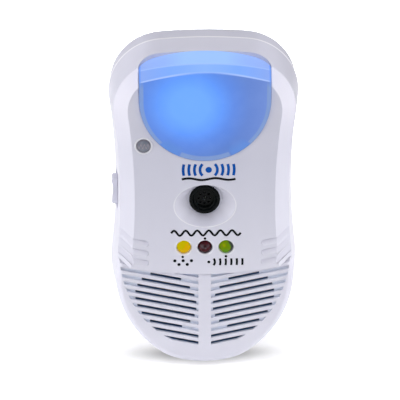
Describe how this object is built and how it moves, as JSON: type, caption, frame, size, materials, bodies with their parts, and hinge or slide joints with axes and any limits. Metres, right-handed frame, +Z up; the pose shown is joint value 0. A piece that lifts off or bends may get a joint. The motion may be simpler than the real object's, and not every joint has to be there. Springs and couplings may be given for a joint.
{
  "type": "ultrasonic pest repeller",
  "caption": "Plug-in pest repeller: white waisted housing, domed blue night light, ion outlet in an oval dish, indicator lamps, side slide switch and louvred speaker grilles.",
  "frame": {"origin": "midway between the two plug blades, on the flat rear face that rests against the wall", "axes": "+Z up, +X to the right seen from the front, -Y out into the room, +Y into the outlet along the blades"},
  "size_m": [0.0684, 0.0534, 0.1236],
  "materials": {
    "white_shell": "satin moulded, very slightly lavender white",
    "blue_lens": "translucent blue, lit from behind",
    "white_inner": "matte white",
    "black_plastic": "semi-gloss black",
    "clear_window": "clear grey",
    "led_yellow": "tinted diffused",
    "led_red": "tinted diffused, unlit",
    "led_green": "tinted diffused",
    "lamp_body": "moulded",
    "board": "solder mask",
    "screw_steel": "zinc plated",
    "bright_steel": "tinned",
    "core_steel": "varnished laminations",
    "brass_nickel": "nickel plated brass",
    "brass": "plain",
    "copper": "enamelled copper wire",
    "cone_film": "silvered film",
    "foam": "closed-cell foam",
    "wire_black": "pvc insulation",
    "wire_white": "pvc insulation",
    "brown_laminate": "phenolic laminate",
    "capacitor_red": "moulded case",
    "capacitor_sleeve": "shrink sleeve",
    "ceramic_tan": "dipped",
    "resistor_tan": "dipped"
  },
  "bodies": {
    "housing": {"front_cover": "white_shell", "rear_cover": "white_shell", "cover_screws": "screw_steel", "board_screws": "screw_steel", "retainer_screws": "screw_steel", "night_light_lens": "blue_lens", "night_light_reflector": "white_inner", "night_light_board": "board", "night_light_leds": "lamp_body", "night_light_wires": "wire_white", "photocell": "lamp_body", "photocell_window": "clear_window", "outlet_cap": "black_plastic", "ion_needle": "bright_steel", "needle_holder": "white_inner", "ioniser_module": "black_plastic", "led_yellow": "led_yellow", "led_red": "led_red", "led_green": "led_green", "led_spacers": "white_inner", "speaker_frames": "black_plastic", "speaker_cones": "cone_film", "piezo_discs": "brass", "speaker_gaskets": "foam", "speaker_wires": "wire_black", "slide_switch_case": "bright_steel", "slide_switch_base": "brown_laminate", "slide_switch_terminals": "brass", "plug_blades": "brass_nickel", "blade_retainer": "white_inner", "mains_wires": "wire_black", "main_circuit_board": "board", "pulse_coil_core": "core_steel", "pulse_coil_bobbin": "black_plastic", "pulse_coil_winding": "copper", "film_capacitor": "capacitor_red", "electrolytic_capacitors": "capacitor_sleeve", "ceramic_capacitors": "ceramic_tan", "controller_chip": "black_plastic", "resistors": "resistor_tan", "rectifier_diodes": "black_plastic", "transistors": "black_plastic", "fuse": "ceramic_tan"},
    "switch_knob": {"slide_knob": "white_shell", "slide_switch_slider": "black_plastic", "slide_switch_contact": "brass"}
  },
  "joints": [
    {"name": "knob_slide", "type": "slide", "parent": "housing", "child": "switch_knob", "axis": [0, 0, 1], "range_m": [-0.0015, 0.0015]}
  ]
}
